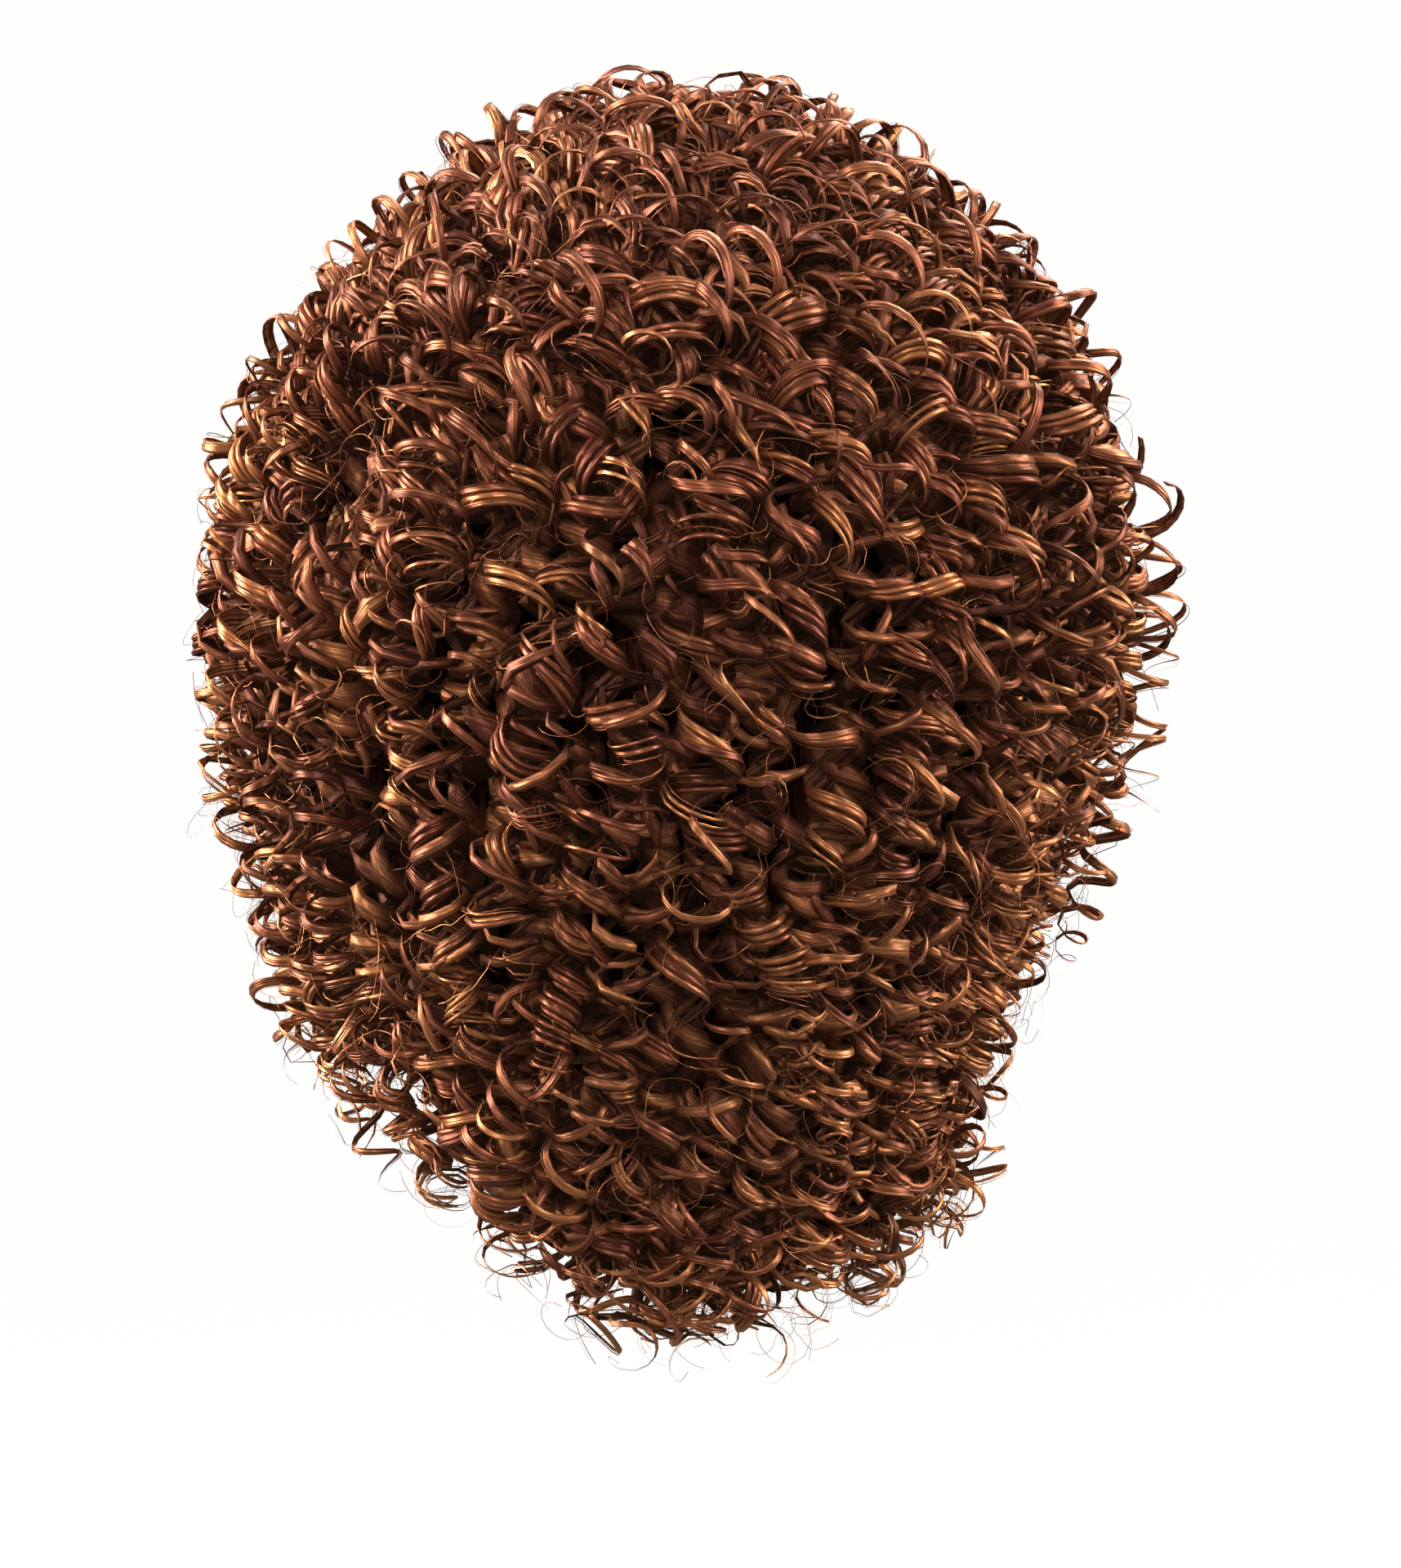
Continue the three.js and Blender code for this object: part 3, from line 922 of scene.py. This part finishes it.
def matted_rings():
    """Rings of corners down the outer skin and up the inner one, and the two middles at the crown."""
    turn = np.linspace(0, 2 * math.pi, MATTED_TURNS, endpoint=False)
    open_face = 1 - ramp(*OPENING_EDGE, from_face(turn))
    end = (hem_drop(turn) - MATTED_HEM_GAP) * (1 - open_face) + MATTED_FRINGE_DROP * open_face
    share = np.linspace(0, 1, MATTED_DROPS + 1)[1:]
    turns, drops = turn[None, :] + 0 * share[:, None], share[:, None] * end[None, :]
    lumps = LUMP * sum(np.sin(turns * count + drops / apart) for count, apart in LUMPS)
    thickness = np.linalg.norm(on_form(HAIR_FORM, turns, drops) - on_form(CAP_FORM, turns, drops), axis=-1)
    deepest = thickness - MATTED_CAP_GAP
    outside = in_hair(turns, drops, np.minimum(MATTED_DEPTH + lumps, deepest - MATTED_LEAST))
    inside = in_hair(turns, drops, deepest)
    crown_depth = HAIR_FORM["rise"] - CAP_FORM["rise"] - MATTED_CAP_GAP
    middles = in_hair(np.zeros(2), np.zeros(2), np.array([MATTED_DEPTH, crown_depth]))
    return np.concatenate([outside, inside[::-1]]), middles


def matted_faces(rows):
    """Quads between the rings, and triangles round the two middles."""
    faces = []
    last = (rows - 1) * MATTED_TURNS
    top_out, top_in = rows * MATTED_TURNS, rows * MATTED_TURNS + 1
    for first in range(0, last, MATTED_TURNS):
        second = first + MATTED_TURNS
        for k in range(MATTED_TURNS):
            n = (k + 1) % MATTED_TURNS
            faces.append((first + k, second + k, second + n, first + n))
    for k in range(MATTED_TURNS):
        n = (k + 1) % MATTED_TURNS
        faces.append((top_out, k, n))
        faces.append((top_in, last + n, last + k))
    return faces


rings, middles = matted_rings()
corners = np.concatenate([rings.reshape(-1, 3), middles])
faces = matted_faces(len(rings))
matted_mesh = bpy.data.meshes.new("matted_hair")
matted_mesh.from_pydata(corners.tolist(), [], faces)
matted_mesh.polygons.foreach_set("use_smooth", np.ones(len(faces), dtype=bool))
matted = bpy.data.objects.new("matted_hair", matted_mesh)
bpy.context.scene.collection.objects.link(matted)
print("matted hair", len(faces), "faces")

# %% [markdown]
# Single strands that have come loose stand off all round as a faint haze, and lie across the curls.
# Each is a thin closed ribbon that bends round as part of a wide ring. They are drawn pale, a painted
# highlight of fine hairs that catch the light.

# %% Loose strands
LOOSE_STRANDS = 1400
LOOSE_STEPS = 13
LOOSE_FROM = 15 * MM  # below the crown
LOOSE_UNTIL = 10 * MM  # above the hem
LOOSE_DEPTH = (0, 10)  # in millimetres
LOOSE_TILT = 0.4  # deviation of a ring's axis from the way out
LOOSE_START = (0, 0.3, 1)  # a ring starts square to its axis and to this
LOOSE_BEND = (0.3, 0.8)  # of a full ring
LOOSE_RADIUS = (5, 11)  # in millimetres
LOOSE_DRIFT = (1, 0.15)
LOOSE_RISE = 2.2  # deviation, in millimetres for each radian
LOOSE_WIDTH = (0.12, 0.22)  # in millimetres
LOOSE_GOLD = (0.3, 0.9)
# painted highlight: loose strands are drawn pale, as fine hairs that catch the light
LOOSE_PAINTED_HIGHLIGHT = 2.5


def loose_strand():
    """A fine strand that bends round just outside the curls."""
    turn, drop = FACE_TURN, hem_drop(FACE_TURN)
    while from_face(turn) < FACE_HALF_TURN and drop > FRINGE_DROP:
        turn = random.uniform(0, 2 * math.pi)
        drop = random.uniform(LOOSE_FROM, float(hem_drop(turn)) - LOOSE_UNTIL)
    depth = random.uniform(*LOOSE_DEPTH) * MM
    centre = in_hair(np.array([turn]), np.array([drop]), np.array([depth]))[0]
    axis = unit(random.normal(0, LOOSE_TILT, 3) + way_out(np.array(turn), np.array(drop)))
    first = unit(np.cross(axis, LOOSE_START))
    second = np.cross(axis, first)
    bend = np.linspace(0, random.uniform(*LOOSE_BEND), LOOSE_STEPS) * 2 * math.pi
    bend = bend + random.uniform(0, 2 * math.pi)
    share = np.linspace(0, 1, LOOSE_STEPS)
    radius = random.uniform(*LOOSE_RADIUS) * MM * (1 + drift(share, *LOOSE_DRIFT))
    rise = (bend - bend.mean()) * random.normal(0, LOOSE_RISE) * MM
    radial = np.cos(bend)[:, None] * first + np.sin(bend)[:, None] * second
    line = centre + radial * radius[:, None] + axis * rise[:, None]
    width = np.full(LOOSE_STEPS, random.uniform(*LOOSE_WIDTH) * MM)
    shade = np.tile((random.uniform(*LOOSE_GOLD), LOOSE_PAINTED_HIGHLIGHT, 0.0), (LOOSE_STEPS, 1))
    return ribbon(line, radial, strand_section(width, width), 0, random.uniform(*SEEDS), shade)


loose = joined_mesh("loose_strands", [loose_strand() for _ in range(LOOSE_STRANDS)])

# %% [markdown]
# Shader maths reads best as plain maths. This small class wraps one socket of a node tree: the
# usual operators add Math nodes, and one method adds any other node.


# %% Shader helper
class Shade:
    """A socket in a material's node tree, with operators for maths on values."""

    def __init__(self, tree, socket=None):
        self.tree = tree
        self.socket = socket

    def add(self, kind, settings=None, sockets=None, out=0):
        """A new node: its settings, then values or links for its sockets. Gives one of its outputs."""
        node = self.tree.nodes.new(kind)
        for key, value in (settings or {}).items():
            if key == "stops":
                for stop, (place, colour) in zip(self.stops_of(node, len(value)), value):
                    stop.position = place
                    stop.color = colour
            else:
                setattr(node, key, value)
        for key, value in (sockets or {}).items():
            if isinstance(value, Shade):
                self.tree.links.new(value.socket, node.inputs[key])
            else:
                node.inputs[key].default_value = value
        return Shade(self.tree, node.outputs[out])

    @staticmethod
    def stops_of(node, count):
        """The stops of a ramp, as many as are needed."""
        while len(node.color_ramp.elements) < count:
            node.color_ramp.elements.new(1.0)
        return node.color_ramp.elements

    def other(self, out):
        """Another output of the node that this socket belongs to."""
        return Shade(self.tree, self.socket.node.outputs[out])

    def feeds(self, socket):
        """Links this value to a socket of the shader."""
        self.tree.links.new(self.socket, socket)

    def maths(self, operation, first, second):
        return self.add("ShaderNodeMath", {"operation": operation}, {0: first, 1: second})

    def __add__(self, other):
        return self.maths("ADD", self, other)

    def __radd__(self, other):
        return self.maths("ADD", other, self)

    def __sub__(self, other):
        return self.maths("SUBTRACT", self, other)

    def __rsub__(self, other):
        return self.maths("SUBTRACT", other, self)

    def __mul__(self, other):
        return self.maths("MULTIPLY", self, other)

    def __rmul__(self, other):
        return self.maths("MULTIPLY", other, self)

    def mixed(self, first, second):
        """Two colours mixed by this value."""
        return self.add(
            "ShaderNodeMix", {"data_type": "RGBA"}, {"Factor": self, 6: first, 7: second}, out=2)

    def stretched(self, scale):
        """This vector with its parts multiplied by those of a scale."""
        return self.add("ShaderNodeVectorMath", {"operation": "MULTIPLY"}, {0: self, 1: scale})

    def spread(self, low, high, first=0.0, last=1.0):
        """This value, taken from low to high, as one from first to last."""
        return self.add("ShaderNodeMapRange", sockets={0: self, 1: low, 2: high, 3: first, 4: last})

    def noise(self, scale=1.0, **sockets):
        """The value of a noise at this place."""
        return self.add("ShaderNodeTexNoise", sockets={"Vector": self, "Scale": scale, **sockets})

    def bump(self, strength, distance):
        """The normal of a surface that this value lifts."""
        return self.add(
            "ShaderNodeBump", sockets={"Strength": strength, "Distance": distance, "Height": self})


def new_material(name, constants):
    """A material with its Principled shader's fixed values set, and a Shade to add nodes with."""
    material = bpy.data.materials.new(name)
    material.use_nodes = True
    shader = material.node_tree.nodes["Principled BSDF"]
    for key, value in constants.items():
        shader.inputs[key].default_value = value
    return material, shader, Shade(material.node_tree)


# %% [markdown]
# The fibre is a smooth plastic thread, so a lock shines, with fine lines along it. The marks on the
# mesh place those lines: noise that is stretched along the strand and changes fast across it. Where
# the noise is low, a gap parts the hairs, and its dark is painted shade. Painted shade also darkens
# the hair deep inside. Light that goes from strand to strand inside the hair is too slow to trace, so
# a faint warm glow stands for it and keeps the gaps from going black.

# %% Hair fibre
DARK_AUBURN = (0.06, 0.0125, 0.0055, 1)
AUBURN = (0.165, 0.041, 0.0175, 1)
COPPER = (0.32, 0.098, 0.043, 1)
GOLD = (0.5, 0.185, 0.066, 1)
# the tone of painted shade, deep in the hair and in the gaps between hairs
PAINTED_SHADE_TONE = (0.055, 0.0165, 0.0078, 1)
FIBRE = {
    "IOR": 1.5,
    "Specular IOR Level": 0.6,
    "Specular Tint": (1.0, 0.74, 0.6, 1),
    "Emission Color": (1.0, 0.5, 0.3, 1),
    "Emission Strength": 0.005,
}
FINE_LINES = (1.5, 0.012, 1.0)  # waves for each millimetre across and along a strand, and by its seed
BROAD_LINES = (0.5, 0.03, 1.0)
GAP_LINES = (1.0, 0.008, 3.0)
FINE_ROUGHNESS = 0.6  # of the noise
GAP_SPAN = (0.36, 0.48)  # of the noise, from a full gap to none
# how far painted shade darkens a gap between hairs
GAP_PAINTED_SHADE = 0.55
# how far painted shade darkens the hair
PAINTED_SHADE_COVER = 0.9
TONE_SHARES = (3.0, 0.6, 0.4)  # of the fine and broad lines and of the lock's own lightness
TONE_SPAN = (1.6, 2.5)
GOLD_SHARES = (0.5, 0.3)  # of the broad and fine lines
GOLD_SPAN = (0.6, 1.25)
MOST_GOLD = 0.9
BROAD_HEIGHT = 0.3  # where the fine lines have 1
GAP_DEPTH = 0.25
LINE_HEIGHT = 0.5 * MM
# where painted shade lies, the hair is also rougher and more like metal
GLOSS = {"fine": 0.2, "painted_shade": 0.4, "least": 0.21}  # parts of the roughness
METAL = {"painted_shade": 0.1, "least": 0.7}  # tints the glints with the colour of the hair


def hair_material():
    """Auburn hair that turns copper and gold, with fine lines along it, and painted shade in the gaps
    between hairs and deep in the hair.
    """
    material, shader, base = new_material("curl_fibre", FIBRE)
    strand = base.add("ShaderNodeAttribute", {"attribute_name": "strand"}, out="Vector")
    shade = base.add("ShaderNodeAttribute", {"attribute_name": "shade"}, out="Vector")
    gold = base.add("ShaderNodeSeparateXYZ", sockets={0: shade}, out="X")
    light, painted_shade = gold.other("Y"), gold.other("Z")
    fine = strand.stretched(FINE_LINES).noise(Detail=3.0, Roughness=FINE_ROUGHNESS)
    broad = strand.stretched(BROAD_LINES).noise(Detail=1.0)
    streak = strand.stretched(GAP_LINES).noise(Detail=1.0)
    gap = streak.spread(*GAP_SPAN, 1.0, 0.0)
    tone = fine * TONE_SHARES[0] + broad * TONE_SHARES[1] + light * TONE_SHARES[2]
    tones = [(0.0, DARK_AUBURN), (0.5, AUBURN), (1.0, COPPER)]
    auburn = base.add("ShaderNodeValToRGB", {"stops": tones}, {0: tone.spread(*TONE_SPAN)})
    golden = (gold + broad * GOLD_SHARES[0] + fine * GOLD_SHARES[1]).spread(*GOLD_SPAN, 0.0, MOST_GOLD)
    colour = golden.mixed(auburn, GOLD)
    # painted shade in the gaps between hairs
    colour = (gap * GAP_PAINTED_SHADE).mixed(colour, PAINTED_SHADE_TONE)
    # painted shade deep in the hair
    colour = (painted_shade * PAINTED_SHADE_COVER).mixed(colour, PAINTED_SHADE_TONE)
    height = fine + broad * BROAD_HEIGHT - gap * GAP_DEPTH
    colour.feeds(shader.inputs["Base Color"])
    (fine * GLOSS["fine"] + painted_shade * GLOSS["painted_shade"] + GLOSS["least"]).feeds(shader.inputs["Roughness"])
    (painted_shade * METAL["painted_shade"] + METAL["least"]).feeds(shader.inputs["Metallic"])
    height.bump(1.0, LINE_HEIGHT).feeds(shader.inputs["Normal"])
    return material


fibre = hair_material()
for piece in [*ringlets.values(), under, loose]:
    piece.data.materials.append(fibre)
print(fibre.name, len(fibre.node_tree.nodes), "nodes")

# %% [markdown]
# The cap is a dark stretch net. Cells of noise give its threads, which a Bump node lifts. The matted
# hair needs only lines that run down it, in dark tones that are painted shade, because little of it
# is seen.

# %% Net of the cap and matted hair
NET_SCALE = 420.0
NET_HOLE = (0.008, 0.005, 0.004, 1)
NET_THREAD = (0.055, 0.032, 0.024, 1)
THREAD_SPAN = (0.02, 0.12)  # from the middle of a thread to the hole beside it
THREAD_HEIGHT = 0.5 * MM
THREAD_BUMP = 0.6
MATTED_SCALE = 700.0
MATTED_STRETCH = (1.0, 1.0, 0.05)
# painted shade: the matted hair is drawn as dark as the shade under the curls
MATTED_PAINTED_SHADE_DEEP = (0.003, 0.0012, 0.0008, 1)
MATTED_PAINTED_SHADE_SOFT = (0.045, 0.0165, 0.0095, 1)
MATTED_SPAN = (0.35, 0.68)  # of the noise, from dark to light
MATTED_HEIGHT = 2 * MM
MATTED_BUMP = 0.8


def cap_material():
    """A dark net of fine threads."""
    material, shader, base = new_material("cap_net", {"Roughness": 0.8})
    place = base.add("ShaderNodeTexCoord", out="Object")
    weave = base.add(
        "ShaderNodeTexVoronoi", {"feature": "DISTANCE_TO_EDGE"}, {"Vector": place, "Scale": NET_SCALE})
    thread = weave.spread(*THREAD_SPAN, 1.0, 0.0)
    thread.mixed(NET_HOLE, NET_THREAD).feeds(shader.inputs["Base Color"])
    thread.bump(THREAD_BUMP, THREAD_HEIGHT).feeds(shader.inputs["Normal"])
    return material


def matted_material():
    """Dull hair in painted shade, with lines that run down it."""
    material, shader, base = new_material("matted_hair", {"Roughness": 0.9, "Specular IOR Level": 0.0})
    place = base.add("ShaderNodeTexCoord", out="Object").stretched(MATTED_STRETCH)
    lines = place.noise(MATTED_SCALE, Detail=3.0)
    lines.spread(*MATTED_SPAN).mixed(MATTED_PAINTED_SHADE_DEEP, MATTED_PAINTED_SHADE_SOFT).feeds(shader.inputs["Base Color"])
    lines.bump(MATTED_BUMP, MATTED_HEIGHT).feeds(shader.inputs["Normal"])
    return material


cap.data.materials.append(cap_material())
matted.data.materials.append(matted_material())
print("materials", [cap.data.materials[0].name, matted.data.materials[0].name])

# %% [markdown]
# The white of the floor and the backdrop is its own glow. Its surface is dark under that, so that
# lamps leave no brighter patch on it, and the white is the same everywhere.

# %% White of the floor and the backdrop
SCREEN = {
    "Roughness": 0.9,
    "Specular IOR Level": 0.0,
    "Emission Color": (1.0, 1.0, 0.985, 1),
    "Emission Strength": 0.965,
}
SCREEN_GRAIN = 3.0
SCREEN_TONES = ((0.04, 0.04, 0.04, 1), (0.05, 0.05, 0.05, 1))


def screen_material():
    """A glowing white with a faint grain."""
    material, shader, base = new_material("floor_white", SCREEN)
    grain = base.add("ShaderNodeTexCoord", out="Object").noise(SCREEN_GRAIN)
    grain.mixed(*SCREEN_TONES).feeds(shader.inputs["Base Color"])
    return material


white = screen_material()
for screen in (floor, backdrop):
    screen.data.materials.append(white)
print(white.name, "on", floor.name, "and", backdrop.name)

# %% [markdown]
# Every piece rides on the one body. The curls of a tier stand for that tier's solid, and the net
# cap for the plain cap.

# %% Riding, and hiding the plain solids
for name, piece in ringlets.items():
    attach(piece, "root")
    if name in tiers:
        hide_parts(name + "_curls")
for piece in (under, loose, matted):
    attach(piece, "root")
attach(cap, "root")
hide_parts("wig_cap")
